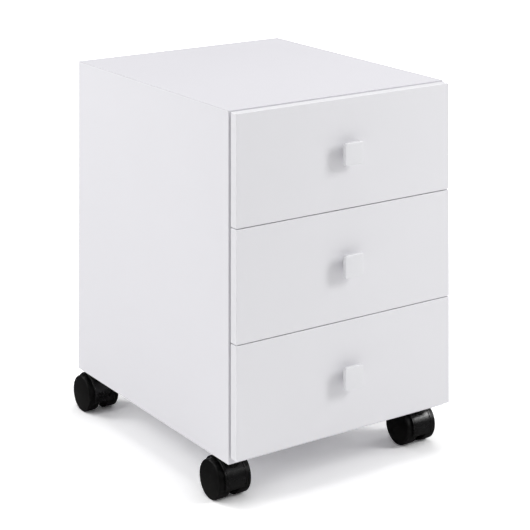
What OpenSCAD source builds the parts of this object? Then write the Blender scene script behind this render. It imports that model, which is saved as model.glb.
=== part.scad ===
// Rolling pedestal cabinet: three drawers on roller runners, four twin-wheel casters.
// Millimetres. +X is to the right seen from the front, +Y towards the back, +Z up.
// The origin is on the floor, under the middle of the object's outer box.

/* [Cabinet] */
// Outside width of the cabinet
cab_w = 420; // [360:1:520]
// Depth of the cabinet, from the front edges of its boards to their back edges
cab_d = 482; // [400:1:600]
// Height of the cabinet, from the underside of the bottom panel to the top
cab_h = 534; // [440:1:680]
// Thickness of the sides, the top and the bottom
board_t = 16; // [13:0.5:20]
// Thickness of the back panel
back_t = 8; // [5:0.5:10]
// Distance from the boards' back edges to the back panel
back_inset = 8; // [4:0.5:12]
// Depth of the grooves that hold the back panel
groove_d = 5; // [3:0.5:6]
// Thickness of the loose tongue in each mitred corner
spline_t = 3; // [2:0.5:4]
// Width of the loose tongue, half of it in each board
spline_w = 14; // [10:0.5:15]

/* [Drawer fronts] */
// Thickness of a front
front_t = 16; // [13:0.5:22]
// Gap between the cabinet's front edges and the back of a closed front
front_gap = 2; // [1:0.5:4]
// How far a front stops short of the cabinet's side
side_reveal = 2.5; // [0.5:0.5:5]
// How far the top front stops short of the cabinet's top
top_reveal = 2; // [0:0.5:6]
// How far the bottom front stops short of the cabinet's underside
foot_reveal = 10; // [4:0.5:16]
// Gap between two fronts
between = 1.5; // [1:0.5:6]

/* [Drawer boxes] */
// Thickness of a drawer's sides and back
box_t = 12; // [10:0.5:15]
// Height of a drawer side's lower edge above the front's lower edge
box_rise = 20; // [16:1:26]
// Distance from a drawer side's upper edge up to the front's upper edge
box_head = 28; // [24:1:50]
// Thickness of a drawer's bottom
floor_t = 4; // [3:0.5:5]
// Height of the drawer's bottom above the lower edge of its sides
floor_lift = 10; // [6:0.5:14]
// Depth of the groove that holds the drawer's bottom
floor_groove = 5; // [3:0.5:6]

/* [Knobs] */
// Width and height of a knob's square plate
knob_w = 35; // [26:1:44]
// Thickness of the plate
knob_t = 6.3; // [4:0.1:9]
// Radius of the plate's corners
knob_corner = 2.5; // [1:0.5:8]
// Distance from the front to the plate's face
knob_out = 19; // [15:0.5:28]
// Diameter of the neck behind the plate
neck_d = 14; // [11:0.5:18]
// Height of a knob's centre above the middle of its front
knob_lift = 2.5; // [0:0.5:6]

/* [Roller runners] */
// Gap between the cabinet's side and the drawer's side
run_gap = 12.5; // [12.5:0.1:14]
// Thickness of the runners' steel
steel_t = 1.2; // [1:0.1:1.4]
// Diameter of the rollers
roller_d = 16; // [14:0.5:18]
// Diameter of the pins that the rollers turn on
roller_pin_d = 5; // [4:0.5:6]
// Distance from a runner's end to the centre of its roller
roller_end = 12; // [11:0.5:16]
// Distance from a cabinet runner's front end to the cabinet's front edges
runner_setback = 2; // [1:0.5:6]
// Room behind a closed drawer
rear_room = 16; // [8:1:40]

/* [Casters] */
// Radius of a wheel
wheel_r = 30; // [24:1:40]
// Width of a caster over both wheels
caster_w = 58; // [50:1:72]
// Gap between a caster's two wheels
wheels_apart = 16; // [15.5:0.5:28]
// How far a wheel stands out beyond the side of the hood
wheel_out = 9.6; // [7:0.1:12]
// Distance from the swivel pin back to the axle
trail = 19; // [16:0.5:21]
// Distance from the cabinet's side to the swivel pin
caster_in_x = 27.5; // [24:0.5:60]
// Distance from the cabinet's front or back edges to the swivel pin
caster_in_y = 32.5; // [26:0.5:60]
// Diameter of the wheels' axle
axle_d = 6; // [5:0.5:8]
// Diameter of the swivel pin
swivel_d = 8; // [6:0.5:10]
// Width of the square mounting plate
plate_w = 38; // [36:1:46]
// Thickness of the mounting plate
plate_t = 2.5; // [2:0.1:4]
// Room between the hood and the mounting plate, where the screw heads are
swivel_room = 4; // [3.5:0.1:6]

/* [Hidden] */
$fn = 96;

// clearances
PIN_FIT = 0.05;        // round each turning pin, on the radius
ROLL_GAP = 0.3;        // between a roller and the track it runs on
END_GAP = 0.3;         // beside a turning part

// heights, from the floor
hood_gap = 1.5;        // between the wheel's rim and the inside of the hood
hood_wall = 2;
hood_r = wheel_r + hood_gap + hood_wall;
caster_h = wheel_r + hood_r + swivel_room + plate_t;
cab_top = caster_h + cab_h;

// the cabinet's inside
half_w = cab_w / 2;
half_in = half_w - board_t;
back_y = cab_d - back_inset - back_t;

// the whole object's length, and where its middle is
rear_over = max(0, trail + wheel_r - caster_in_y);
front_out = front_gap + front_t + knob_out;
cab_y = -(cab_d + rear_over - front_out) / 2;

// drawers; level 0 is the bottom drawer, level 2 the top one
front_w = cab_w - 2 * side_reveal;
front_h = (cab_h - top_reveal - foot_reveal - 2 * between) / 3;
runner_l = back_y - rear_room;
box_w = 2 * (half_in - run_gap);
box_h = front_h - box_rise - box_head;
box_back = runner_l - front_gap;

// runners: s is the distance inwards from the cabinet's side
track_drop = 2;        // from the drawer side's lower edge down to the track's underside
track_w = 10;
flange_gap = 0.8;      // between the track's upper flange and the drawer's flange
track_h = roller_d + 2 * ROLL_GAP + 2 * steel_t;
pin_head_t = 0.7;
runner_screws_n = 3;
runner_screw_d = 3.6;
runner_screw_l = 11;

// casters
plate_screw_d = 3.5;
plate_screw_l = 13;
plate_screw_at = plate_w / 2 - 4.5;
hood_half = caster_w / 2 - wheel_out;
disc_t = 3;            // the outer disc of a wheel
ring_t = 3.5;          // the ring that carries its tread
wheel_face_t = 1.5;    // left in front of the blind axle hole
socket_d = swivel_d + 6;
swivel_l = 22;
hub_d = axle_d + 8;

// cam fittings between the bottom panel and the sides
cam_d = 15;
cam_t = board_t - 3.5;
cam_in = 24;           // from the side's inner face to the cam's centre
cam_from_end = 80;     // from the cabinet's front and back edges
bolt_d = 7;
bolt_in_side = board_t - 6;

// ---------- helpers ----------

// puts what is drawn from the cabinet's front edges and the floor into the object's frame
module in_frame() {
    translate([0, cab_y, 0])
        children();
}

// a block between two opposite corners
module block(low, high) {
    translate(low)
        cube(high - low);
}

// a cylinder along +X that starts at a point
module rod_x(start, d, length) {
    translate(start)
        rotate([0, 90, 0])
            cylinder(d = d, h = length);
}

// a cylinder along +Y that starts at a point
module rod_y(start, d, length) {
    translate(start)
        rotate([-90, 0, 0])
            cylinder(d = d, h = length);
}

// the same thing on the left, as drawn, and on the right, mirrored
module both_sides() {
    children();
    mirror([1, 0, 0])
        children();
}

// an outline in X and Z, drawn out along Y over the cabinet's depth
module board_along_y(points) {
    translate([0, cab_d, 0])
        rotate([90, 0, 0])
            linear_extrude(cab_d)
                polygon(points);
}

function front_z(level) = caster_h + foot_reveal + level * (front_h + between);
function box_z(level) = front_z(level) + box_rise;
function track_z(level) = box_z(level) - track_drop;
function knob_z(level) = front_z(level) + front_h / 2 + knob_lift;

// centre height of the cabinet's roller, which carries the drawer's flange
function front_roller_z(level) =
    track_z(level) + track_h + flange_gap - ROLL_GAP - roller_d / 2;

// centre height of the drawer's roller, which runs inside the track
function rear_roller_z(level) = track_z(level) + steel_t + ROLL_GAP + roller_d / 2;

front_roller_y = runner_setback + roller_end;
rear_roller_y = box_back - roller_end;

// heights and places of a runner's screws along the track
function screw_y(k) =
    runner_setback + 50 + k * (runner_l - 100) / (runner_screws_n - 1);
function screw_z(level) = track_z(level) + track_h / 2;

// ---------- the cabinet's boards ----------
// The casters' inner screws go into the bottom panel and their outer ones into the
// lower edges of the sides.

module back_blank() {
    block([-half_in - groove_d, back_y, caster_h + board_t - groove_d],
          [half_in + groove_d, back_y + back_t, cab_top - board_t + groove_d]);
}

// loose tongue across the mitre of the left top corner
module tongue_blank() {
    translate([-half_w + board_t * 0.6, 0, cab_top - board_t * 0.6])
        rotate([0, -45, 0])
            block([-spline_w / 2, 12, -spline_t / 2],
                  [spline_w / 2, back_y - 12, spline_t / 2]);
}

module cam_bolt_blank(y) {
    rod_x([-half_in - bolt_in_side, y, caster_h + board_t / 2], bolt_d, bolt_in_side + cam_in);
}

module cam_blank(y) {
    translate([-half_in + cam_in, y, caster_h])
        cylinder(d = cam_d, h = cam_t);
}

module at_cams() {
    for (y = [cam_from_end, cab_d - cam_from_end])
        translate([0, y, 0])
            children();
}

module left_board() {
    color([0.92, 0.92, 0.94]) in_frame()
        difference() {
            board_along_y([
                [-half_w, caster_h], [-half_in, caster_h],
                [-half_in, cab_top - board_t], [-half_w, cab_top]
            ]);
            back_blank();
            tongue_blank();
            at_cams()
                cam_bolt_blank(0);
            for (level = [0:2], k = [0:runner_screws_n - 1])
                runner_screw(level, k);
            at_caster_screws()
                caster_screw();
        }
}

module right_board() {
    mirror([1, 0, 0])
        left_board();
}

module top_board() {
    color([0.92, 0.92, 0.94]) in_frame()
        difference() {
            board_along_y([
                [-half_w, cab_top], [-half_in, cab_top - board_t],
                [half_in, cab_top - board_t], [half_w, cab_top]
            ]);
            back_blank();
            both_sides()
                tongue_blank();
        }
}

module bottom_board() {
    color([0.92, 0.92, 0.94]) in_frame()
        difference() {
            block([-half_in, 0, caster_h], [half_in, cab_d, caster_h + board_t]);
            back_blank();
            both_sides()
                at_cams() {
                    cam_blank(0);
                    cam_bolt_blank(0);
                }
            at_caster_screws()
                caster_screw();
        }
}

module back_board() {
    color([0.88, 0.88, 0.89]) in_frame()
        back_blank();
}

module corner_tongues() {
    color("burlywood") in_frame()
        both_sides()
            tongue_blank();
}

// cam with a cross recess for the screwdriver, seen from below
module cam_locks() {
    color("silver") in_frame()
        both_sides()
            at_cams()
                difference() {
                    cam_blank(0);
                    cam_bolt_blank(0);
                    for (turn = [0, 90])
                        translate([-half_in + cam_in, 0, caster_h])
                            rotate([0, 0, turn])
                                block([-4, -0.7, -1], [4, 0.7, 2]);
                }
}

module cam_bolts() {
    color("silver") in_frame()
        both_sides()
            at_cams()
                cam_bolt_blank(0);
}

// ---------- runners on the cabinet ----------

// screw of a left-hand runner, with a low head inside the track
module runner_screw(level, k) {
    x = -half_in + steel_t;
    rod_x([x - runner_screw_l, screw_y(k), screw_z(level)], runner_screw_d, runner_screw_l);
    rod_x([x, screw_y(k), screw_z(level)], 2 * runner_screw_d, 0.6);
}

module runner_screws() {
    color("silver") in_frame()
        both_sides()
            for (level = [0:2], k = [0:runner_screws_n - 1])
                runner_screw(level, k);
}

// left-hand track: a channel open towards the drawer, with the front roller's pin
module track(level) {
    wall = -half_in;
    z = track_z(level);
    far = runner_setback + runner_l;
    open_l = 2 * roller_end + 3;
    difference() {
        union() {
            block([wall, runner_setback, z], [wall + steel_t, far, z + track_h]);
            block([wall, runner_setback, z], [wall + track_w, far, z + steel_t]);
            block([wall, runner_setback + open_l, z + track_h - steel_t],
                  [wall + track_w, far, z + track_h]);
            rod_x([wall + steel_t, front_roller_y, front_roller_z(level)],
                  roller_pin_d, track_w - steel_t);
            rod_x([wall + track_w - pin_head_t, front_roller_y, front_roller_z(level)],
                  roller_pin_d + 2, pin_head_t);
        }
        for (k = [0:runner_screws_n - 1])
            runner_screw(level, k);
    }
}

module track_runners(level) {
    color("whitesmoke") in_frame()
        both_sides()
            track(level);
}

// plain roller with a bore, from x = s0 to x = s1 inwards from the left side's inner face
module roller(y, z, s0, s1) {
    difference() {
        rod_x([-half_in + s0, y, z], roller_d, s1 - s0);
        rod_x([-half_in + s0 - 1, y, z], roller_pin_d + 2 * PIN_FIT, s1 - s0 + 2);
    }
}

module track_rollers(level) {
    color("gainsboro") in_frame()
        both_sides()
            roller(front_roller_y, front_roller_z(level),
                   steel_t + END_GAP, track_w - pin_head_t - END_GAP);
}

// ---------- drawers ----------

module knob_screw_blank(level) {
    rod_y([0, -front_gap - front_t - knob_out + knob_t, knob_z(level)],
          4, front_t + knob_out - knob_t);
    rod_y([0, -front_gap, knob_z(level)], 8, 2.4);
}

module floor_blank(level) {
    z = box_z(level) + floor_lift;
    block([-box_w / 2 + box_t - floor_groove, -front_gap - floor_groove, z],
          [box_w / 2 - box_t + floor_groove, box_back, z + floor_t]);
}

module drawer_front(level) {
    color([0.9, 0.9, 0.92]) in_frame()
        difference() {
            block([-front_w / 2, -front_gap - front_t, front_z(level)],
                  [front_w / 2, -front_gap, front_z(level) + front_h]);
            floor_blank(level);
            knob_screw_blank(level);
        }
}

module drawer_left_side(level) {
    color([0.86, 0.86, 0.87]) in_frame()
        difference() {
            block([-box_w / 2, -front_gap, box_z(level)],
                  [-box_w / 2 + box_t, box_back, box_z(level) + box_h]);
            floor_blank(level);
        }
}

module drawer_right_side(level) {
    mirror([1, 0, 0])
        drawer_left_side(level);
}

// back board, which stands on the drawer's bottom
module drawer_back(level) {
    color([0.86, 0.86, 0.87]) in_frame()
        block([-box_w / 2 + box_t, box_back - box_t, box_z(level) + floor_lift + floor_t],
              [box_w / 2 - box_t, box_back, box_z(level) + box_h]);
}

module drawer_bottom(level) {
    color([0.84, 0.84, 0.85]) in_frame()
        floor_blank(level);
}

// square plate with round corners on a round neck
module knob(level) {
    half = knob_w / 2;
    face_y = -front_gap - front_t - knob_out;
    color([0.92, 0.92, 0.93]) in_frame()
        difference() {
            translate([0, face_y, knob_z(level)])
                union() {
                    block([-half + knob_corner, 0, -half], [half - knob_corner, knob_t, half]);
                    block([-half, 0, -half + knob_corner], [half, knob_t, half - knob_corner]);
                    for (sx = [-1, 1], sz = [-1, 1])
                        rod_y([sx * (half - knob_corner), 0, sz * (half - knob_corner)],
                              2 * knob_corner, knob_t);
                    rod_y([0, knob_t / 2, 0], neck_d, knob_out - knob_t / 2);
                }
            knob_screw_blank(level);
        }
}

module knob_screw(level) {
    color("silver") in_frame()
        knob_screw_blank(level);
}

// left-hand drawer runner: under the side, up its outside, out over the track's roller
module drawer_runner(level) {
    outside = -box_w / 2;
    flange_z = track_z(level) + track_h + flange_gap;
    block([outside - steel_t, -front_gap, box_z(level) - steel_t],
          [outside, box_back, flange_z + steel_t]);
    block([outside - steel_t, -front_gap, box_z(level) - steel_t],
          [outside + box_t, box_back, box_z(level)]);
    block([-half_in + 2.5, -front_gap, flange_z], [outside, box_back, flange_z + steel_t]);
    rod_x([-half_in + 2.3, rear_roller_y, rear_roller_z(level)], roller_pin_d,
          run_gap - steel_t - 2.3);
    rod_x([-half_in + 2.3, rear_roller_y, rear_roller_z(level)], roller_pin_d + 2, pin_head_t);
}

module drawer_runners(level) {
    color("whitesmoke") in_frame()
        both_sides()
            drawer_runner(level);
}

module drawer_rollers(level) {
    color("gainsboro") in_frame()
        both_sides()
            roller(rear_roller_y, rear_roller_z(level),
                   2.3 + pin_head_t + END_GAP, run_gap - steel_t - 2 * END_GAP);
}

// ---------- casters ----------

// side is -1 on the left and 1 on the right; end is 0 at the front and 1 at the rear
function swivel_x(side) = side * (half_w - caster_in_x);
function swivel_y(end) = end == 0 ? caster_in_y : cab_d - caster_in_y;

module at_swivel(side, end) {
    translate([swivel_x(side), swivel_y(end), 0])
        children();
}

module at_swivels() {
    for (side = [-1, 1], end = [0, 1])
        at_swivel(side, end)
            children();
}

// puts what is drawn about the middle of the axle in place
module at_axle(side, end) {
    at_swivel(side, end)
        translate([0, trail, wheel_r])
            children();
}

module at_caster_screws() {
    at_swivels()
        for (sx = [-1, 1], sy = [-1, 1])
            translate([sx * plate_screw_at, sy * plate_screw_at, 0])
                children();
}

module caster_screw() {
    translate([0, 0, caster_h - plate_t])
        cylinder(d = plate_screw_d, h = plate_screw_l);
    translate([0, 0, caster_h - plate_t - 2])
        cylinder(d = 2 * plate_screw_d, h = 2);
}

module caster_plates() {
    color("silver") in_frame()
        difference() {
            at_swivels() {
                block([-plate_w / 2, -plate_w / 2, caster_h - plate_t],
                      [plate_w / 2, plate_w / 2, caster_h]);
                translate([0, 0, caster_h - plate_t - swivel_l])
                    cylinder(d = swivel_d, h = swivel_l + plate_t / 2);
            }
            at_caster_screws()
                caster_screw();
        }
}

module caster_screws() {
    color("silver") in_frame()
        at_caster_screws()
            caster_screw();
}

// wedge of a cylinder about X, from angle a0 to a1, counted from the back upwards
module wedge_x(a0, a1, half) {
    steps = 6;
    rotate([90, 0, 90])
        translate([0, 0, -half])
            linear_extrude(2 * half)
                polygon(concat([[0, 0]], [
                    for (k = [0:steps])
                        let (a = a0 + (a1 - a0) * k / steps)
                            2 * hood_r * [cos(a), sin(a)]
                ]));
}

// hood over the front and top of the wheels' treads: a raised rim at each side, with the
// swivel pin's socket and the axle's hub joined by a web inside
module hood(side, end) {
    inner = hood_r - hood_wall;
    rim_w = 2.6;
    groove_w = 1;
    rear_angle = 40;
    front_angle = 198;
    socket_top = swivel_room + hood_r - 0.5;
    socket_low = hood_r + swivel_room - swivel_l - 2;
    color([0.1, 0.1, 0.11]) in_frame() at_axle(side, end)
        difference() {
            union() {
                difference() {
                    rotate([0, 90, 0])
                        rotate_extrude()
                            polygon([
                                [inner, -hood_half],
                                [hood_r, -hood_half],
                                [hood_r, -hood_half + rim_w],
                                [hood_r - 0.9, -hood_half + rim_w],
                                [hood_r - 0.9, -hood_half + rim_w + groove_w],
                                [hood_r - 0.4, -hood_half + rim_w + groove_w],
                                [hood_r - 0.4, hood_half - rim_w - groove_w],
                                [hood_r - 0.9, hood_half - rim_w - groove_w],
                                [hood_r - 0.9, hood_half - rim_w],
                                [hood_r, hood_half - rim_w],
                                [hood_r, hood_half],
                                [inner, hood_half]
                            ]);
                    wedge_x(front_angle, rear_angle + 360, hood_half + 1);
                }
                intersection() {
                    rod_x([-2, 0, 0], 2 * inner + 1, 4);
                    wedge_x(60, 190, 3);
                }
                rod_x([-hood_half, 0, 0], hub_d, 2 * hood_half);
                translate([0, -trail, socket_low])
                    cylinder(d = socket_d, h = socket_top - socket_low);
            }
            translate([0, -trail, socket_low + 1.5])
                cylinder(d = swivel_d + 2 * PIN_FIT, h = socket_top - socket_low);
            rod_x([-hood_half - 1, 0, 0], axle_d, 2 * hood_half + 2);
        }
}

module axle(side, end) {
    half = caster_w / 2 - wheel_face_t - END_GAP;
    color("silver") in_frame() at_axle(side, end)
        rod_x([-half, 0, 0], axle_d, 2 * half);
}

// plain disc with a rounded-off outer edge, a hub with a blind hole for the axle, and a
// ring that carries the tread in under the hood; way is -1 for the wheel on the caster's
// left and 1 for the one on its right
module wheel(side, end, way) {
    out = caster_w / 2;
    hub_in = hood_half + END_GAP;
    tread_in = wheels_apart / 2;
    bore = axle_d / 2 + PIN_FIT;
    color([0.1, 0.1, 0.11]) in_frame() at_axle(side, end)
        rotate([0, way * 90, 0])
            rotate_extrude()
                polygon([
                    [bore, hub_in], [hub_d / 2, hub_in], [hub_d / 2, out - disc_t],
                    [wheel_r - ring_t, out - disc_t], [wheel_r - ring_t, tread_in],
                    [wheel_r - 0.8, tread_in], [wheel_r, tread_in + 0.8],
                    [wheel_r, out - 2.2], [wheel_r - 0.6, out - 1], [wheel_r - 2.2, out],
                    [0, out], [0, out - wheel_face_t], [bore, out - wheel_face_t]
                ]);
}

// ---------- the nodes ----------

left_board();  // left_side
right_board();  // right_side
top_board();  // top_panel
bottom_board();  // bottom_panel
back_board();  // back_panel
corner_tongues();
cam_locks();
cam_bolts();
runner_screws();
caster_plates();
caster_screws();

track_runners(2);  // top_track_runners
track_runners(1);  // middle_track_runners
track_runners(0);  // bottom_track_runners
track_rollers(2);  // top_track_rollers
track_rollers(1);  // middle_track_rollers
track_rollers(0);  // bottom_track_rollers

drawer_front(2);  // top_drawer_front
drawer_front(1);  // middle_drawer_front
drawer_front(0);  // bottom_drawer_front
drawer_left_side(2);  // top_drawer_left_side
drawer_left_side(1);  // middle_drawer_left_side
drawer_left_side(0);  // bottom_drawer_left_side
drawer_right_side(2);  // top_drawer_right_side
drawer_right_side(1);  // middle_drawer_right_side
drawer_right_side(0);  // bottom_drawer_right_side
drawer_back(2);  // top_drawer_back
drawer_back(1);  // middle_drawer_back
drawer_back(0);  // bottom_drawer_back
drawer_bottom(2);  // top_drawer_bottom
drawer_bottom(1);  // middle_drawer_bottom
drawer_bottom(0);  // bottom_drawer_bottom
knob(2);  // top_knob
knob(1);  // middle_knob
knob(0);  // bottom_knob
knob_screw(2);  // top_knob_screw
knob_screw(1);  // middle_knob_screw
knob_screw(0);  // bottom_knob_screw
drawer_runners(2);  // top_drawer_runners
drawer_runners(1);  // middle_drawer_runners
drawer_runners(0);  // bottom_drawer_runners
drawer_rollers(2);  // top_drawer_rollers
drawer_rollers(1);  // middle_drawer_rollers
drawer_rollers(0);  // bottom_drawer_rollers

hood(-1, 0);  // front_left_hood
hood(1, 0);  // front_right_hood
hood(-1, 1);  // rear_left_hood
hood(1, 1);  // rear_right_hood
axle(-1, 0);  // front_left_axle
axle(1, 0);  // front_right_axle
axle(-1, 1);  // rear_left_axle
axle(1, 1);  // rear_right_axle
wheel(-1, 0, -1);  // front_left_outer_wheel
wheel(1, 0, 1);  // front_right_outer_wheel
wheel(-1, 1, -1);  // rear_left_outer_wheel
wheel(1, 1, 1);  // rear_right_outer_wheel
wheel(-1, 0, 1);  // front_left_inner_wheel
wheel(1, 0, -1);  // front_right_inner_wheel
wheel(-1, 1, 1);  // rear_left_inner_wheel
wheel(1, 1, -1);  // rear_right_inner_wheel
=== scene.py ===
import math

import bmesh
import bpy
from mathutils import Matrix, Vector


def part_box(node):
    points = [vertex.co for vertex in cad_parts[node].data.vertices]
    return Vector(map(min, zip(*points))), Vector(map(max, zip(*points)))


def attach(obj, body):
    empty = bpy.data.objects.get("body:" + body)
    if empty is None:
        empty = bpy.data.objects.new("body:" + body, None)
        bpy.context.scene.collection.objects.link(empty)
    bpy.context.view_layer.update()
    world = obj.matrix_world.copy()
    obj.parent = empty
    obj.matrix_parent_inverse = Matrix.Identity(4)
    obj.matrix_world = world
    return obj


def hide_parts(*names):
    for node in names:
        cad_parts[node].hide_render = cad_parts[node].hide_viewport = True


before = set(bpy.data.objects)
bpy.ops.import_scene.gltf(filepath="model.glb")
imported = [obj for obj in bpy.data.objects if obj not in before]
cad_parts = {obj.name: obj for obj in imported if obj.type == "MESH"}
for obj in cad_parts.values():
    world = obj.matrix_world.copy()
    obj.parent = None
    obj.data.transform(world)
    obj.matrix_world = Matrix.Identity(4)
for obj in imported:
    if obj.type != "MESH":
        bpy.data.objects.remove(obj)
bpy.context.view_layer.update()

# ---------------------------------------------------------------------------
# Viewpoint. The object is seen over its front left corner with all uprights
# kept upright, as with a rising-front camera. The lean is a shear in the
# camera's carrier, so the lens itself stays unshifted.
# ---------------------------------------------------------------------------
VIEW_FROM = Vector((-1.60822, -2.40244, 1.16309))
VIEW_HEADING = math.radians(34.0)
VIEW_DROP = 0.30657
LENS_WIDTH = 121.76

ahead = Vector((math.sin(VIEW_HEADING), math.cos(VIEW_HEADING), 0))
across = Vector((math.cos(VIEW_HEADING), -math.sin(VIEW_HEADING), 0))
towards_eye = (VIEW_DROP * Vector((0, 0, 1)) - ahead).normalized()
carrier = bpy.data.objects.new("camera_carrier", None)
camera = bpy.data.objects.new("camera", bpy.data.cameras.new("camera"))
for item in (carrier, camera):
    bpy.context.scene.collection.objects.link(item)
camera.data.sensor_width = 36
camera.data.lens = LENS_WIDTH
camera.data.clip_end = 60
camera.parent = carrier
camera.matrix_parent_inverse = Matrix((
    (across.x, 0, towards_eye.x, VIEW_FROM.x),
    (across.y, 0, towards_eye.y, VIEW_FROM.y),
    (across.z, 1, towards_eye.z, VIEW_FROM.z),
    (0, 0, 0, 1),
))
bpy.context.scene.camera = camera


# ---------------------------------------------------------------------------
# Cabinet boards. Particle board with a white melamine face and thin edge
# bands; the sides and the top meet in mitres, and the fine dark line along
# each top corner is painted shade of the open gap there. Each board is cut
# square, then its arrises are eased.
# ---------------------------------------------------------------------------
def node(tree, kind, inputs=None, **settings):
    """A new node with its settings; an input is a plain value or another node's socket."""
    made = tree.nodes.new(kind)
    for key, value in settings.items():
        setattr(made, key, value)
    for key, value in (inputs or {}).items():
        if isinstance(value, bpy.types.NodeSocket):
            tree.links.new(value, made.inputs[key])
        else:
            made.inputs[key].default_value = value
    return made


def maths(tree, operation, first, second=0.0, clamp=False):
    return node(tree, "ShaderNodeMath", {0: first, 1: second},
                operation=operation, use_clamp=clamp).outputs[0]


def blend_colour(tree, amount, low, high):
    mix = node(tree, "ShaderNodeMix", data_type="RGBA")
    for index, value in ((0, amount), (6, low), (7, high)):
        if isinstance(value, bpy.types.NodeSocket):
            tree.links.new(value, mix.inputs[index])
        else:
            mix.inputs[index].default_value = value if index == 0 else (*value[:3], 1)
    return mix.outputs[2]


def ramp(tree, value, start, end, low=0.0, high=1.0):
    """A smooth step of value from low at start to high at end."""
    return node(tree, "ShaderNodeMapRange",
                {"Value": value, "From Min": start, "From Max": end, "To Min": low, "To Max": high},
                interpolation_type="SMOOTHSTEP").outputs["Result"]


def new_group(name, inputs, outputs):
    tree = bpy.data.node_groups.new(name, "ShaderNodeTree")
    for title, kind, value in inputs:
        tree.interface.new_socket(title, in_out="INPUT", socket_type=kind).default_value = value
    for title in outputs:
        tree.interface.new_socket(title, in_out="OUTPUT", socket_type="NodeSocketFloat")
    return tree, tree.nodes.new("NodeGroupInput"), tree.nodes.new("NodeGroupOutput")


def use_group(tree, group, **inputs):
    return node(tree, "ShaderNodeGroup", {k.replace("_", " "): v for k, v in inputs.items()}, node_tree=group)


# broad tone and fine grain, both 0 to 1, over the piece's own coordinates
mottle, g_in, g_out = new_group(
    "Mottle",
    [("Broad scale", "NodeSocketFloat", 3.0), ("Fine scale", "NodeSocketFloat", 900.0),
     ("Stretch", "NodeSocketVector", (1.0, 1.0, 1.0))],
    ["Broad", "Fine"])
place = node(mottle, "ShaderNodeVectorMath",
             {0: node(mottle, "ShaderNodeTexCoord").outputs["Object"], 1: g_in.outputs["Stretch"]},
             operation="MULTIPLY").outputs[0]
for title, detail in (("Broad", 3.0), ("Fine", 2.0)):
    cloud = node(mottle, "ShaderNodeTexNoise",
                 {"Vector": place, "Scale": g_in.outputs[f"{title} scale"],
                  "Detail": detail, "Roughness": 0.55})
    mottle.links.new(cloud.outputs["Fac"], g_out.inputs[title])

# distance in metres from a point on a rectangular piece's face to its nearest arris
arris, g_in, g_out = new_group(
    "Arris",
    [("Centre", "NodeSocketVector", (0.0, 0.0, 0.0)), ("Half size", "NodeSocketVector", (1.0, 1.0, 1.0))],
    ["Distance"])
offset = node(arris, "ShaderNodeVectorMath",
              {0: node(arris, "ShaderNodeTexCoord").outputs["Object"], 1: g_in.outputs["Centre"]},
              operation="SUBTRACT").outputs[0]
inward = node(arris, "ShaderNodeVectorMath",
              {0: g_in.outputs["Half size"],
               1: node(arris, "ShaderNodeVectorMath", {0: offset}, operation="ABSOLUTE").outputs[0]},
              operation="SUBTRACT").outputs[0]
dx, dy, dz = node(arris, "ShaderNodeSeparateXYZ", {0: inward}).outputs
middle_one = maths(arris, "MAXIMUM", maths(arris, "MINIMUM", dx, dy),
                   maths(arris, "MINIMUM", maths(arris, "MAXIMUM", dx, dy), dz))
arris.links.new(middle_one, g_out.inputs["Distance"])


def new_material(name, **fixed):
    """A material with a Principled shader; fixed are values that are the same all over."""
    made = bpy.data.materials.new(name)
    made.use_nodes = True
    shader = made.node_tree.nodes["Principled BSDF"]
    for key, value in fixed.items():
        shader.inputs[key.replace("_", " ")].default_value = value
    return made, made.node_tree, shader


def bump(tree, shader, height, depth):
    """Height 0 to 1 becomes a relief that is depth metres high."""
    relief = node(tree, "ShaderNodeBump", {"Height": height, "Distance": depth, "Strength": 1.0})
    tree.links.new(relief.outputs[0], shader.inputs["Normal"])


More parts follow.
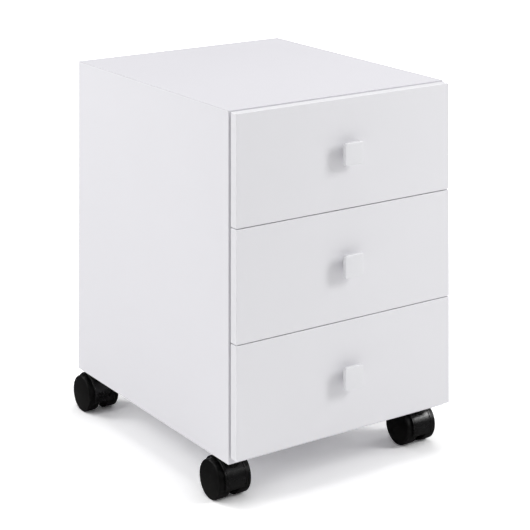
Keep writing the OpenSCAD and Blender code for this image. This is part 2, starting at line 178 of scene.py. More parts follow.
def melamine(name, low, high, colour, band_axis=None, gloss=0.42, edge_highlight_gain=1.06, mitre_shade=0.0):
    """White melamine on one board: a faint pearl, rubbed arrises that are also lightened as a painted
    highlight, and the edge band's hairline seam.

    band_axis is the axis square to the board's faces, where the seam shows. The last argument sets how far
    painted shade of the open gap along the board's upper arris darkens it.
    """
    made, tree, shader = new_material(name, IOR=1.22)
    size = [(b - a) / 2 for a, b in zip(low, high)]
    centre = [(b + a) / 2 for a, b in zip(low, high)]
    tone = use_group(tree, mottle, Broad_scale=3.2, Fine_scale=1400.0)
    distance = use_group(tree, arris, Centre=centre, Half_size=size).outputs["Distance"]
    rubbed_and_highlit_edge = maths(tree, "MULTIPLY", ramp(tree, distance, 0.0, 0.0016, 1.0, 0.0),
                   maths(tree, "ADD", 0.4, tone.outputs["Broad"]), clamp=True)
    face = blend_colour(tree, tone.outputs["Broad"],
                        [c * 0.985 for c in colour], [min(1, c * 1.012) for c in colour])
    face = blend_colour(tree, maths(tree, "MULTIPLY", tone.outputs["Fine"], 0.35),
                        face, [c * 0.965 for c in colour])
    # painted highlight: the arrises' colour is lightened to stand in for the line of light along them; the
    # same mask also roughens them as real wear
    face = blend_colour(tree, rubbed_and_highlit_edge, face, [min(1, c * edge_highlight_gain) for c in colour])
    if band_axis is not None:
        facing = node(tree, "ShaderNodeSeparateXYZ",
                      {0: node(tree, "ShaderNodeTexCoord").outputs["Normal"]}).outputs[band_axis]
        off_seam = maths(tree, "ABSOLUTE", maths(tree, "SUBTRACT", distance, 0.0012))
        seam = maths(tree, "MULTIPLY", ramp(tree, off_seam, 0.00006, 0.00016, 1.0, 0.0),
                     maths(tree, "GREATER_THAN", maths(tree, "ABSOLUTE", facing), 0.9))
        face = blend_colour(tree, maths(tree, "MULTIPLY", seam, 0.22), face, [c * 0.6 for c in colour])
    if mitre_shade:
        height = node(tree, "ShaderNodeSeparateXYZ",
                      {0: node(tree, "ShaderNodeTexCoord").outputs["Object"]}).outputs[2]
        # painted shade: a fine dark line along the upper arris, standing in for the shade in the open gap
        # where the top and side boards meet
        mitre_shade_mask = maths(tree, "MULTIPLY", ramp(tree, distance, 0.00035, 0.0006, 1.0, 0.0),
                      maths(tree, "GREATER_THAN", height, high[2] - 0.001))
        face = blend_colour(tree, maths(tree, "MULTIPLY", mitre_shade_mask, mitre_shade), face, [c * 0.3 for c in colour])
    tree.links.new(face, shader.inputs["Base Color"])
    rough = maths(tree, "ADD", gloss, maths(tree, "MULTIPLY", tone.outputs["Broad"], 0.08))
    rough = maths(tree, "ADD", rough, maths(tree, "MULTIPLY", rubbed_and_highlit_edge, 0.1))
    tree.links.new(rough, shader.inputs["Roughness"])
    bump(tree, shader, tone.outputs["Fine"], 0.000012)
    return made


def piece(name, bm):
    """A finished object from a bmesh, linked to the scene."""
    mesh = bpy.data.meshes.new(name)
    bmesh.ops.recalc_face_normals(bm, faces=bm.faces)
    bm.to_mesh(mesh)
    bm.free()
    made = bpy.data.objects.new(name, mesh)
    bpy.context.scene.collection.objects.link(made)
    return made


def settle(made):
    """Puts an object's modifiers into a plain mesh."""
    shape = made.evaluated_get(bpy.context.evaluated_depsgraph_get())
    mesh = bpy.data.meshes.new_from_object(shape, preserve_all_data_layers=True,
                                           depsgraph=bpy.context.evaluated_depsgraph_get())
    made.modifiers.clear()
    made.data = mesh
    return made


def ease(made, width, segments=3, angle=30):
    """Rounds every arris sharper than angle, with the flat faces kept flat to the eye."""
    made.data.shade_smooth()
    rounding = made.modifiers.new("ease", "BEVEL")
    rounding.width = width
    rounding.segments = segments
    rounding.limit_method = "ANGLE"
    rounding.angle_limit = math.radians(angle)
    rounding.harden_normals = True
    rounding.miter_outer = "MITER_ARC"
    return settle(made)


def stand_for(made, nodes, body, material):
    """Gives a finished piece its material, its body and the CAD nodes it stands for."""
    made.data.materials.clear()
    made.data.materials.append(material)
    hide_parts(*([nodes] if isinstance(nodes, str) else nodes))
    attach(made, body)
    return made


def prism(name, outline, axis, start, end):
    """An outline of points in the two other axes, drawn out along an axis."""
    bm = bmesh.new()
    ends = []
    for at in (start, end):
        ring = []
        for a, b in outline:
            spot = [a, b]
            spot.insert(axis, at)
            ring.append(bm.verts.new(spot))
        ends.append(ring)
    count = len(outline)
    for k in range(count):
        bm.faces.new((ends[0][k], ends[0][(k + 1) % count], ends[1][(k + 1) % count], ends[1][k]))
    bm.faces.new(ends[0][::-1])
    bm.faces.new(ends[1])
    return piece(name, bm)


def slab(name, low, high):
    """A plain rectangular board."""
    return prism(name, [(low[0], low[1]), (high[0], low[1]), (high[0], high[1]), (low[0], high[1])],
                 2, low[2], high[2])


WHITE = (0.764, 0.758, 0.789)
# painted shade: the top board gets a darker copy of the same white, so the top reads less bright under the
# lights
SHADED_TOP_WHITE = (0.728, 0.720, 0.757)
BOARD_EASE = 0.0006

top_low, top_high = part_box("top_panel")
side_low, side_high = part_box("left_side")
board_t = side_high[0] - side_low[0]
half_w = top_high[0]
side_outline = [(-half_w, side_low[2]), (-half_w + board_t, side_low[2]),
                (-half_w + board_t, side_high[2] - board_t), (-half_w, side_high[2])]
for side, way in (("left", 1), ("right", -1)):
    board = prism(f"{side}_side_board", [(way * x, z) for x, z in side_outline], 1, side_low[1], side_high[1])
    low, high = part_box(f"{side}_side")
    stand_for(ease(board, BOARD_EASE), f"{side}_side", "cabinet",
              melamine(f"{side}_side_melamine", low, high, WHITE, band_axis=0, mitre_shade=0.5))
top = prism("top_board",
            [(-half_w, top_high[2]), (-half_w + board_t, top_low[2]),
             (half_w - board_t, top_low[2]), (half_w, top_high[2])], 1, top_low[1], top_high[1])
stand_for(ease(top, BOARD_EASE), "top_panel", "cabinet",
          melamine("top_melamine", top_low, top_high, SHADED_TOP_WHITE, band_axis=2))
low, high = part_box("bottom_panel")
stand_for(ease(slab("bottom_board", low, high), BOARD_EASE), "bottom_panel", "cabinet",
          melamine("bottom_melamine", low, high, WHITE, band_axis=2))

# ---------------------------------------------------------------------------
# Back panel and corner tongues. The back is white-coated hardboard let into
# grooves, a little duller than the boards; the tongues are plywood, glued
# across the mitres where nobody sees them.
# ---------------------------------------------------------------------------
HARDBOARD = (0.74, 0.74, 0.75)
low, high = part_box("back_panel")
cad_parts["back_panel"].data.materials.clear()
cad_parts["back_panel"].data.materials.append(
    melamine("back_hardboard", low, high, HARDBOARD, gloss=0.55))

plywood, tree, shader = new_material("tongue_plywood", Roughness=0.7)
grain = use_group(tree, mottle, Broad_scale=40.0, Fine_scale=300.0, Stretch=(6.0, 0.6, 6.0))
tree.links.new(blend_colour(tree, grain.outputs["Broad"], (0.50, 0.34, 0.19), (0.68, 0.52, 0.34)),
               shader.inputs["Base Color"])
bump(tree, shader, grain.outputs["Fine"], 0.00005)
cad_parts["corner_tongues"].data.materials.clear()
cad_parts["corner_tongues"].data.materials.append(plywood)

# ---------------------------------------------------------------------------
# Drawer fronts. The same white board, banded on all four edges, with arrises
# eased to about a millimetre and lightened in colour as a painted highlight,
# so each front shows a bright line along its top and its left edge.
# ---------------------------------------------------------------------------
LEVELS = ("top", "middle", "bottom")
FRONT_EASE = 0.0009
for level in LEVELS:
    low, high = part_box(f"{level}_drawer_front")
    # the fronts get a stronger painted highlight along their arrises
    stand_for(ease(slab(f"{level}_front_board", low, high), FRONT_EASE, segments=4),
              f"{level}_drawer_front", f"{level}_drawer",
              melamine(f"{level}_front_melamine", low, high, (0.768, 0.764, 0.789), band_axis=1, gloss=0.4,
                       edge_highlight_gain=1.13))


# ---------------------------------------------------------------------------
# Knobs. A square plate with round corners and softly rounded edges, cast in
# one with a round neck that flares where it meets the front; satin white
# lacquer, held by a screw from inside the drawer.
# ---------------------------------------------------------------------------
def rounded_square(half, corner, count):
    """Points round a square with round corners, evenly spread by angle."""
    points = []
    for k in range(count):
        turn = 2 * math.pi * (k + 0.5) / count
        c, s = math.cos(turn), math.sin(turn)
        inner = half - corner
        reach = half / max(abs(c), abs(s))
        if min(abs(c), abs(s)) * reach > inner:
            # on the corner's arc: where the ray from the middle meets the arc
            a, b = abs(c), abs(s)
            dot = inner * (a + b)
            reach = dot + math.sqrt(max(0.0, dot * dot - (2 * inner * inner - corner * corner)))
        points.append((reach * c, reach * s))
    return points


def skin(bm, rings, close_first=True, close_last=True):
    """Faces between rings of equally many points, with the first and last ring closed."""
    rows = [[bm.verts.new(p) for p in ring] for ring in rings]
    count = len(rows[0])
    for lower, upper in zip(rows, rows[1:]):
        for k in range(count):
            bm.faces.new((lower[k], lower[(k + 1) % count], upper[(k + 1) % count], upper[k]))
    for wanted, row in ((close_first, rows[0]), (close_last, rows[-1])):
        if wanted:
            bm.faces.new(row)


def arc(centre, radius, start, end, steps):
    """Points (a, b) on an arc, angles in degrees."""
    return [(centre[0] + radius * math.cos(math.radians(start + (end - start) * k / steps)),
             centre[1] + radius * math.sin(math.radians(start + (end - start) * k / steps)))
            for k in range(steps + 1)]


lacquer, tree, shader = new_material("knob_lacquer", IOR=1.5, Coat_Weight=0.15, Coat_Roughness=0.12)
tone = use_group(tree, mottle, Broad_scale=25.0, Fine_scale=1800.0)
tree.links.new(blend_colour(tree, tone.outputs["Broad"], (0.765, 0.765, 0.79), (0.80, 0.80, 0.822)),
               shader.inputs["Base Color"])
tree.links.new(maths(tree, "ADD", 0.28, maths(tree, "MULTIPLY", tone.outputs["Fine"], 0.1)),
               shader.inputs["Roughness"])
bump(tree, shader, tone.outputs["Fine"], 0.00001)

KNOB_CORNER, KNOB_ROUND, KNOB_BACK_ROUND = 0.0025, 0.0011, 0.0007
KNOB_PLATE, NECK_R, NECK_FLARE, NECK_FILLET = 0.0063, 0.007, 0.003, 0.0012
RING_POINTS = 64
for level in LEVELS:
    low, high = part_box(f"{level}_knob")
    front_y, half = low[1], (high[0] - low[0]) / 2
    base_y, middle_z = high[1], (low[2] + high[2]) / 2
    outline = []
    for inset, y in [(half * 0.6, front_y + 0.00002)] + \
            [(KNOB_ROUND - a, front_y + KNOB_ROUND - b) for a, b in arc((0, 0), KNOB_ROUND, 90, 0, 5)] + \
            [(KNOB_BACK_ROUND - a, front_y + KNOB_PLATE - KNOB_BACK_ROUND + b)
             for a, b in arc((0, 0), KNOB_BACK_ROUND, 0, 90, 4)]:
        corner = max(0.0006, KNOB_CORNER - inset * 0.6)
        outline.append([(x, y, middle_z + z)
                        for x, z in rounded_square(half - inset, corner, RING_POINTS)])
    turns = [2 * math.pi * (k + 0.5) / RING_POINTS for k in range(RING_POINTS)]
    circle = [(math.cos(turn), math.sin(turn)) for turn in turns]
    neck_rings = [(NECK_R + NECK_FILLET, front_y + KNOB_PLATE)]
    neck_rings += [(NECK_R + NECK_FILLET - a, front_y + KNOB_PLATE + NECK_FILLET - b)
                   for a, b in arc((0, 0), NECK_FILLET, 90, 0, 4)][1:]
    neck_rings += [(NECK_R + NECK_FLARE - a, base_y - NECK_FLARE + b)
                   for a, b in arc((0, 0), NECK_FLARE, 0, 90, 5)]
    for radius, y in neck_rings:
        outline.append([(radius * x, y, middle_z + radius * z) for x, z in circle])
    bm = bmesh.new()
    skin(bm, outline)
    knob = piece(f"{level}_knob_casting", bm)
    knob.data.shade_smooth()
    stand_for(knob, f"{level}_knob", f"{level}_drawer", lacquer)

# ---------------------------------------------------------------------------
# Drawer boxes. Pale grey melamine sides and back with eased upper edges, and
# a white-coated hardboard bottom in grooves.
# ---------------------------------------------------------------------------
GREY_MELAMINE = (0.70, 0.70, 0.71)
for level in LEVELS:
    for part in ("left_side", "right_side", "back"):
        low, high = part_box(f"{level}_drawer_{part}")
        stand_for(ease(slab(f"{level}_box_{part}", low, high), 0.0008), f"{level}_drawer_{part}",
                  f"{level}_drawer",
                  melamine(f"{level}_box_{part}_melamine", low, high, GREY_MELAMINE,
                           band_axis=1 if part == "back" else 0, gloss=0.45))
    low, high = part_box(f"{level}_drawer_bottom")
    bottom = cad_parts[f"{level}_drawer_bottom"]
    bottom.data.materials.clear()
    bottom.data.materials.append(melamine(f"{level}_floor_hardboard", low, high, HARDBOARD, gloss=0.5))

# ---------------------------------------------------------------------------
# Runners. Rolled steel strip with a white powder coat: a channel screwed to
# the cabinet's side and an angle under the drawer's side, each with a nylon
# roller that has a slightly crowned tread and a raised hub.
# ---------------------------------------------------------------------------
powder, tree, shader = new_material("white_powder_coat", IOR=1.5)
tone = use_group(tree, mottle, Broad_scale=30.0, Fine_scale=1600.0)
tree.links.new(blend_colour(tree, tone.outputs["Broad"], (0.76, 0.76, 0.74), (0.80, 0.80, 0.79)),
               shader.inputs["Base Color"])
tree.links.new(maths(tree, "ADD", 0.3, maths(tree, "MULTIPLY", tone.outputs["Fine"], 0.2)),
               shader.inputs["Roughness"])
bump(tree, shader, tone.outputs["Fine"], 0.00006)


def islands(name):
    """The box of each separate solid in a CAD node, as (low, high) pairs."""
    bm = bmesh.new()
    bm.from_mesh(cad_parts[name].data)
    bmesh.ops.remove_doubles(bm, verts=bm.verts, dist=1e-6)
    left, found = set(bm.verts), []
    while left:
        reach = [left.pop()]
        group = list(reach)
        while reach:
            vert = reach.pop()
            for edge in vert.link_edges:
                other = edge.other_vert(vert)
                if other in left:
                    left.remove(other)
                    reach.append(other)
                    group.append(other)
        spots = [v.co for v in group]
        found.append((Vector([min(p[i] for p in spots) for i in range(3)]),
                      Vector([max(p[i] for p in spots) for i in range(3)])))
    bm.free()
    return sorted(found, key=lambda box: tuple(round(c, 5) for c in box[0]))


def eased_copy(name, body, material, width, angle=35):
    """The CAD node's own shape with its sharp arrises rounded."""
    bm = bmesh.new()
    bm.from_mesh(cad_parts[name].data)
    bmesh.ops.remove_doubles(bm, verts=bm.verts, dist=1e-6)
    bmesh.ops.dissolve_limit(bm, angle_limit=math.radians(0.5), verts=bm.verts, edges=bm.edges)
    return stand_for(ease(piece(f"{name}_eased", bm), width, segments=2, angle=angle),
                     name, body, material)


def turned(bm, profile, centre, steps=96, start=0.0, sweep=360.0):
    """A closed outline of (along x, radius) points swept round the X axis through centre.

    Angles run from the back (+Y) over the top; a full turn closes on itself.
    """
    full = abs(sweep - 360.0) < 1e-6
    rows = []
    for k in range(steps if full else steps + 1):
        turn = math.radians(start + sweep * k / steps)
        c, s = math.cos(turn), math.sin(turn)
        rows.append([bm.verts.new((centre[0] + x, centre[1] + r * c, centre[2] + r * s))
                     for x, r in profile])
    count = len(profile)
    for k in range(len(rows) if full else len(rows) - 1):
        this, following = rows[k], rows[(k + 1) % len(rows)]
        for i in range(count):
            bm.faces.new((this[i], this[(i + 1) % count], following[(i + 1) % count], following[i]))
    if not full:
        bm.faces.new(rows[0])
        bm.faces.new(rows[-1][::-1])


roller_nylon, tree, shader = new_material("roller_nylon", IOR=1.53, Subsurface_Weight=0.1)
tone = use_group(tree, mottle, Broad_scale=60.0, Fine_scale=900.0)
tree.links.new(blend_colour(tree, tone.outputs["Broad"], (0.62, 0.61, 0.58), (0.72, 0.71, 0.68)),
               shader.inputs["Base Color"])
tree.links.new(maths(tree, "ADD", 0.35, maths(tree, "MULTIPLY", tone.outputs["Fine"], 0.15)),
               shader.inputs["Roughness"])
bump(tree, shader, tone.outputs["Fine"], 0.00002)

ROLLER_BORE, ROLLER_CROWN, FACE_DISH = 0.00255, 0.0002, 0.0004
for level in LEVELS:
    eased_copy(f"{level}_track_runners", "cabinet", powder, 0.0003)
    eased_copy(f"{level}_drawer_runners", f"{level}_drawer", powder, 0.0003)
    for part in ("track_rollers", "drawer_rollers"):
        bm = bmesh.new()
        for low, high in islands(f"{level}_{part}"):
            middle = (low + high) / 2
            half, radius = (high.x - low.x) / 2, (high.z - low.z) / 2
            crown = [(half * k / 4, radius - ROLLER_CROWN * (k / 4) ** 2) for k in range(-3, 4)]
            face = [(half, ROLLER_BORE), (half, ROLLER_BORE + 0.0018),
                    (half - FACE_DISH, ROLLER_BORE + 0.0022), (half - FACE_DISH, radius - 0.0016),
                    (half, radius - 0.0012), (half, radius - 0.0006)]
            turned(bm, [(-x, r) for x, r in face] + crown + face[::-1], middle, steps=48)
        rollers = piece(f"{level}_{part}_crowned", bm)
        rollers.data.shade_smooth()
        rollers.data.set_sharp_from_angle(angle=math.radians(35))
        stand_for(rollers, f"{level}_{part}", f"{level}_{part}", roller_nylon)

# ---------------------------------------------------------------------------
# Zinc-plated steel: mounting plates with their swivel pins, axles, screws and
# cam fittings, all bought in and screwed or pressed home. Every screw is the
# same pan head with a cross recess, set at its own point.
# ---------------------------------------------------------------------------
zinc, tree, shader = new_material("bright_zinc", Metallic=1.0)
tone = use_group(tree, mottle, Broad_scale=120.0, Fine_scale=2500.0)
tree.links.new(blend_colour(tree, tone.outputs["Broad"], (0.50, 0.51, 0.53), (0.68, 0.69, 0.71)),
               shader.inputs["Base Color"])
tree.links.new(maths(tree, "ADD", 0.24, maths(tree, "MULTIPLY", tone.outputs["Fine"], 0.22)),
               shader.inputs["Roughness"])
bump(tree, shader, tone.outputs["Fine"], 0.00001)


def geometry_tree(name, inputs):
    """A Geometry Nodes tree with a geometry going through it and the named inputs."""
    tree = bpy.data.node_groups.new(name, "GeometryNodeTree")
    tree.interface.new_socket("Geometry", in_out="INPUT", socket_type="NodeSocketGeometry")
    for title, kind in inputs:
        tree.interface.new_socket(title, in_out="INPUT", socket_type=kind)
    tree.interface.new_socket("Geometry", in_out="OUTPUT", socket_type="NodeSocketGeometry")
    return tree, tree.nodes.new("NodeGroupInput"), tree.nodes.new("NodeGroupOutput")


def run_tree(made, tree, **values):
    """Gives an object the tree, with its inputs set, and keeps the result as a plain mesh."""
    step = made.modifiers.new("make", "NODES")
    step.node_group = tree
    for item in tree.interface.items_tree:
        key = item.name.replace(" ", "_")
        if item.in_out == "INPUT" and key in values:
            step[item.identifier] = values[key]
    settle(made)
    made.data.shade_smooth()
    made.data.set_sharp_from_angle(angle=math.radians(35))
    return made


def moved(tree, mesh, z):
    """The mesh moved along Z by a value."""
    shift = node(tree, "ShaderNodeCombineXYZ", {2: z}).outputs[0]
    return node(tree, "GeometryNodeTransform", {"Geometry": mesh, "Translation": shift}).outputs[0]


screws_tree, g_in, g_out = geometry_tree("Screws at points", [
    ("Head radius", "NodeSocketFloat"), ("Head height", "NodeSocketFloat"),
    ("Shank radius", "NodeSocketFloat"), ("Shank length", "NodeSocketFloat"),
    ("Recess", "NodeSocketFloat"), ("Material", "NodeSocketMaterial")])
tree = screws_tree
head_h, shank_l = g_in.outputs["Head height"], g_in.outputs["Shank length"]
band = maths(tree, "MULTIPLY", head_h, 0.55)
head = node(tree, "GeometryNodeMeshCylinder",
            {"Vertices": 36, "Radius": g_in.outputs["Head radius"], "Depth": band}).outputs["Mesh"]
dome = node(tree, "GeometryNodeMeshCone",
            {"Vertices": 36, "Radius Top": g_in.outputs["Head radius"],
             "Radius Bottom": maths(tree, "MULTIPLY", g_in.outputs["Head radius"], 0.78),
             "Depth": maths(tree, "SUBTRACT", head_h, band)}).outputs["Mesh"]
shank = node(tree, "GeometryNodeMeshCylinder",
             {"Vertices": 24, "Radius": g_in.outputs["Shank radius"],
              "Depth": maths(tree, "ADD", shank_l, maths(tree, "MULTIPLY", band, 0.5))}).outputs["Mesh"]
solid = node(tree, "GeometryNodeMeshBoolean", operation="UNION")
for mesh in (moved(tree, head, maths(tree, "MULTIPLY", band, -0.5)),
             moved(tree, dome, maths(tree, "MULTIPLY", head_h, -1.0)),
             moved(tree, shank, maths(tree, "SUBTRACT", maths(tree, "MULTIPLY", shank_l, 0.5),
                                      maths(tree, "MULTIPLY", band, 0.25)))):
    tree.links.new(mesh, solid.inputs["Mesh 2"])
cross = node(tree, "GeometryNodeMeshBoolean", {"Mesh 1": solid.outputs["Mesh"]}, operation="DIFFERENCE")
arm = g_in.outputs["Recess"]
thin = maths(tree, "MULTIPLY", arm, 0.24)
for first, second in ((arm, thin), (thin, arm)):
    size = node(tree, "ShaderNodeCombineXYZ", {0: first, 1: second, 2: head_h}).outputs[0]
    bar = node(tree, "GeometryNodeMeshCube", {"Size": size}).outputs["Mesh"]
    tree.links.new(moved(tree, bar, maths(tree, "MULTIPLY", head_h, -1.0)), cross.inputs["Mesh 2"])
aim = node(tree, "GeometryNodeInputNamedAttribute", {"Name": "aim"},
           data_type="FLOAT_VECTOR").outputs["Attribute"]
facing = node(tree, "FunctionNodeAlignRotationToVector", {"Vector": aim}, axis="Z").outputs["Rotation"]
copies = node(tree, "GeometryNodeInstanceOnPoints",
              {"Points": g_in.outputs["Geometry"], "Instance": cross.outputs["Mesh"], "Rotation": facing})
real = node(tree, "GeometryNodeRealizeInstances", {"Geometry": copies.outputs["Instances"]}).outputs[0]
tree.links.new(node(tree, "GeometryNodeSetMaterial",
                    {"Geometry": real, "Material": g_in.outputs["Material"]}).outputs[0], g_out.inputs[0])


def screws(name, body, axis, head_height, shank_radius):
    """Screws in place of a CAD node's own, along axis.

    They go up (2), towards the front (1), or away from the middle (0), with the head behind.
    """
    spots, aims = [], []
    for low, high in islands(name):
        middle, size = (low + high) / 2, high - low
        if axis == 2:
            into = Vector((0, 0, 1))
        elif axis == 1:
            into = Vector((0, -1, 0))
        else:
            into = Vector((math.copysign(1, middle.x), 0, 0))
        long = size[axis]
        spots.append(middle - into * (long / 2 - head_height))
        aims.append(into)
        head_radius = max(size[i] for i in range(3) if i != axis) / 2
    mesh = bpy.data.meshes.new(f"{name}_points")
    mesh.from_pydata(spots, [], [])
    directions = mesh.attributes.new("aim", "FLOAT_VECTOR", "POINT")
    directions.data.foreach_set("vector", [c for way in aims for c in way])
    made = bpy.data.objects.new(f"{name}_set", mesh)
    bpy.context.scene.collection.objects.link(made)
    run_tree(made, screws_tree, Head_radius=head_radius, Head_height=head_height, Shank_radius=shank_radius,
             Shank_length=long - head_height, Recess=head_radius * 1.15, Material=zinc)
    return stand_for(made, name, body, zinc)


screws("caster_screws", "cabinet", 2, 0.002, 0.00175)
screws("runner_screws", "cabinet", 0, 0.0006, 0.0018)
for level in LEVELS:
    screws(f"{level}_knob_screw", f"{level}_drawer", 1, 0.0024, 0.002)
eased_copy("caster_plates", "cabinet", zinc, 0.0003)
eased_copy("cam_locks", "cabinet", zinc, 0.00025)
eased_copy("cam_bolts", "cabinet", zinc, 0.0003)
CASTERS = [f"{end}_{side}" for end in ("front", "rear") for side in ("left", "right")]
for caster in CASTERS:
    eased_copy(f"{caster}_axle", f"{caster}_caster", zinc, 0.0003)


# ---------------------------------------------------------------------------
# Casters. A black moulded hood over the front and top of two hard nylon disc
# wheels, with a raised rim and a groove along each side of the hood and a
# round socket for the swivel pin standing out of its crown.
# ---------------------------------------------------------------------------
def black_plastic(name, dark, pale, gloss, texture, refraction):
    """Moulded black plastic with a fine spark-eroded grain and a little dust low down."""
    made, tree, shader = new_material(name, IOR=refraction)
    tone = use_group(tree, mottle, Broad_scale=90.0, Fine_scale=texture)
    height = node(tree, "ShaderNodeSeparateXYZ",
                  {0: node(tree, "ShaderNodeTexCoord").outputs["Object"]}).outputs[2]
    dust = maths(tree, "MULTIPLY", ramp(tree, height, 0.0, 0.05, 0.5, 0.05), tone.outputs["Broad"])
    body = blend_colour(tree, tone.outputs["Fine"], dark, pale)
    body = blend_colour(tree, maths(tree, "MULTIPLY", dust, 0.16), body, (0.2, 0.19, 0.18))
    tree.links.new(body, shader.inputs["Base Color"])
    rough = maths(tree, "ADD", gloss, maths(tree, "MULTIPLY", tone.outputs["Broad"], 0.1))
    tree.links.new(maths(tree, "ADD", rough, maths(tree, "MULTIPLY", dust, 0.3)), shader.inputs["Roughness"])
    bump(tree, shader, tone.outputs["Fine"], 0.00002)
    return made


hood_black = black_plastic("hood_black", (0.0014, 0.0014, 0.0015), (0.0028, 0.0028, 0.0030),
                           0.2, 1500.0, 1.52)
wheel_black = black_plastic("wheel_black", (0.0012, 0.0012, 0.0013), (0.0024, 0.0024, 0.0025),
                            0.28, 1100.0, 1.3)


def rod(bm, centre, radius, low, high, axis=2, round_top=0.0, steps=48):
    """A closed cylinder with an eased far end."""
    rings = [(radius, low)] + [(radius - round_top + a, high - round_top + b)
                               for a, b in arc((0, 0), round_top, 0, 90, 3)] if round_top else \
        [(radius, low), (radius, high)]
    out = []
    for r, at in rings:
        ring = []
        for k in range(steps):
            turn = 2 * math.pi * k / steps
            spot = [centre[0] + r * math.cos(turn), centre[1] + r * math.sin(turn)]
            spot.insert(axis, at)
            ring.append(spot)
        out.append(ring)
    skin(bm, out)


HOOD_WALL, RIM_W, GROOVE_W = 0.002, 0.0026, 0.001
RIM_STEP, GROOVE_STEP = 0.0004, 0.0009
HOOD_REAR, HOOD_FRONT = 40.0, 198.0
SOCKET_R, TRAIL = 0.007, 0.019
for caster in CASTERS:
    hood_low, hood_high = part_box(f"{caster}_hood")
    wheel_low, wheel_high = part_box(f"{caster}_outer_wheel")
    middle_x = (hood_low[0] + hood_high[0]) / 2
    axle = Vector((middle_x, (wheel_low[1] + wheel_high[1]) / 2, (wheel_low[2] + wheel_high[2]) / 2))
    half = (hood_high[0] - hood_low[0]) / 2
    hood_r = axle.y - hood_low[1]
    inner = hood_r - HOOD_WALL
    one_side = [(-half, inner), (-half, hood_r - 0.0005), (-half + 0.0005, hood_r),
                (-half + RIM_W - 0.0004, hood_r), (-half + RIM_W, hood_r - 0.0004),
                (-half + RIM_W, hood_r - GROOVE_STEP), (-half + RIM_W + GROOVE_W, hood_r - GROOVE_STEP),
                (-half + RIM_W + GROOVE_W + 0.0003, hood_r - RIM_STEP)]
    profile = one_side + [(-x, r) for x, r in one_side[::-1]]
    bm = bmesh.new()
    turned(bm, profile, axle, steps=64, start=HOOD_REAR, sweep=HOOD_FRONT - HOOD_REAR)
    hood = piece(f"{caster}_hood_moulding", bm)
    ease(hood, 0.00025, segments=2, angle=40)

    bm = bmesh.new()
    bm.from_mesh(hood.data)
    rod(bm, (middle_x, axle.y - TRAIL), SOCKET_R, hood_low[2] + 0.004, hood_high[2], round_top=0.0006)
    rod(bm, (axle.y, axle.z), SOCKET_R, middle_x - half, middle_x + half, axis=0)
    web = [(0, 0)] + arc((0, 0), inner + 0.0005, 60, 185, 16)
    ends = [[bm.verts.new((middle_x + x, axle.y + a, axle.z + b)) for a, b in web] for x in (-0.002, 0.002)]
    for k in range(len(web)):
        bm.faces.new((ends[0][k], ends[0][(k + 1) % len(web)], ends[1][(k + 1) % len(web)], ends[1][k]))
    bm.faces.new(ends[0][::-1])
    bm.faces.new(ends[1])
    bmesh.ops.recalc_face_normals(bm, faces=bm.faces)
    bm.to_mesh(hood.data)
    bm.free()
    stand_for(hood, f"{caster}_hood", f"{caster}_caster", hood_black)

    for which in ("outer", "inner"):
        low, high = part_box(f"{caster}_{which}_wheel")
        way = 1 if (low[0] + high[0]) / 2 > middle_x else -1
        out = (high[0] if way > 0 else low[0]) - middle_x
        tread_in = way * min(abs(low[0] - middle_x), abs(high[0] - middle_x))
        hub_in = way * (half + 0.0003)
        radius = axle.z - low[2]
        rim = [(out - way * (0.0022 - b), radius - 0.0022 + a) for a, b in arc((0, 0), 0.0022, 0, 90, 5)]
        disc_in, ring_in = out - way * 0.003, radius - 0.0035
        profile = [(tread_in, radius - 0.0008), (tread_in + way * 0.0008, radius)] + rim + [
            (out, 0.0004), (out - way * 0.0015, 0.0004), (out - way * 0.0015, 0.0031),
            (hub_in, 0.0031), (hub_in, 0.007), (disc_in, 0.007), (disc_in, ring_in), (tread_in, ring_in)]
        bm = bmesh.new()
        turned(bm, profile, axle, steps=96)
        wheel = piece(f"{caster}_{which}_disc", bm)
        ease(wheel, 0.0002, segments=2, angle=35)
        stand_for(wheel, f"{caster}_{which}_wheel", f"{caster}_{which}_wheel", wheel_black)

# ---------------------------------------------------------------------------
# Studio. A seamless pale floor, an even white surround that glints little, and
# soft square lights: two from the front right, one low on the right, one on
# the left, one behind on the left and a broad one overhead.
# ---------------------------------------------------------------------------
FLOOR_LIFT = 1.35, 4.0
SURROUND, SURROUND_GLINT = 0.41, 0.15
floor_paint, tree, shader = new_material("floor_paint", Roughness=0.9, Specular_IOR_Level=0.0)
tone = use_group(tree, mottle, Broad_scale=0.5, Fine_scale=60.0)
paths = node(tree, "ShaderNodeLightPath").outputs
seen, mirrored = paths["Is Camera Ray"], paths["Is Glossy Ray"]
paint = blend_colour(tree, tone.outputs["Broad"], (0.945, 0.945, 0.95), (0.955, 0.955, 0.955))
reach = node(tree, "ShaderNodeVectorMath", {0: node(tree, "ShaderNodeTexCoord").outputs["Object"]},
             operation="LENGTH").outputs["Value"]
lift = ramp(tree, reach, 0.7, 2.4, *FLOOR_LIFT)
lifted = node(tree, "ShaderNodeVectorMath", {0: paint, "Scale": lift}, operation="SCALE").outputs[0]
choice = node(tree, "ShaderNodeMix", {0: seen}, data_type="RGBA")
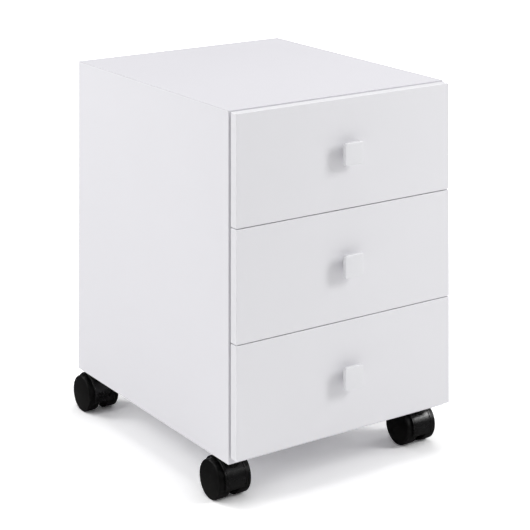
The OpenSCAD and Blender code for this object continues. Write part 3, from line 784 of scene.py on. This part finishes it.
tree.links.new(blend_colour(tree, mirrored, paint, (0.12, 0.12, 0.12)), choice.inputs[6])
tree.links.new(lifted, choice.inputs[7])
tree.links.new(choice.outputs[2], shader.inputs["Base Color"])
floor = slab("studio_floor", (-9, -9, -0.02), (9, 14, 0.0))
floor.data.materials.append(floor_paint)

surround = bpy.data.worlds.new("studio_surround")
surround.use_nodes = True
tree = surround.node_tree
paths = node(tree, "ShaderNodeLightPath").outputs
around = node(tree, "ShaderNodeMapRange", {"Value": paths["Is Glossy Ray"], "To Min": SURROUND,
                                           "To Max": SURROUND * SURROUND_GLINT}).outputs["Result"]
lit = node(tree, "ShaderNodeMapRange",
           {"Value": paths["Is Camera Ray"], "To Min": around, "To Max": 1.05}).outputs["Result"]
tree.links.new(lit, tree.nodes["Background"].inputs["Strength"])
tree.nodes["Background"].inputs["Color"].default_value = (1.0, 1.0, 1.0, 1)
bpy.context.scene.world = surround


def soft_light(name, spot, width, height, power, aim=(0, 0, 0.3)):
    lamp = bpy.data.lights.new(name, "AREA")
    lamp.shape = "RECTANGLE"
    lamp.size, lamp.size_y, lamp.energy = width, height, power
    made = bpy.data.objects.new(name, lamp)
    bpy.context.scene.collection.objects.link(made)
    made.location = spot
    made.rotation_mode = "QUATERNION"
    made.rotation_quaternion = (Vector(aim) - Vector(spot)).to_track_quat("-Z", "Y")


soft_light("key_right", (3.0, -0.3, 1.5), 1.2, 1.2, 15.6)
soft_light("front_right", (2.2, -2.2, 2.2), 1.0, 1.0, 38.9)
soft_light("front_right_low", (2.6, -2.2, 1.3), 0.8, 0.8, 17.2)
soft_light("rear_right", (2.2, 2.2, 2.4), 1.0, 1.0, 4.0)
soft_light("left", (-3.0, 0.3, 1.8), 2.0, 2.0, 28.8)
soft_light("rear_left", (-2.0, 2.5, 2.2), 1.2, 1.2, 38.4)
soft_light("overhead", (0.0, 0.0, 3.0), 2.0, 2.0, 26.4)
bpy.context.scene.view_settings.view_transform = "Standard"
bpy.context.scene.view_settings.look = "None"
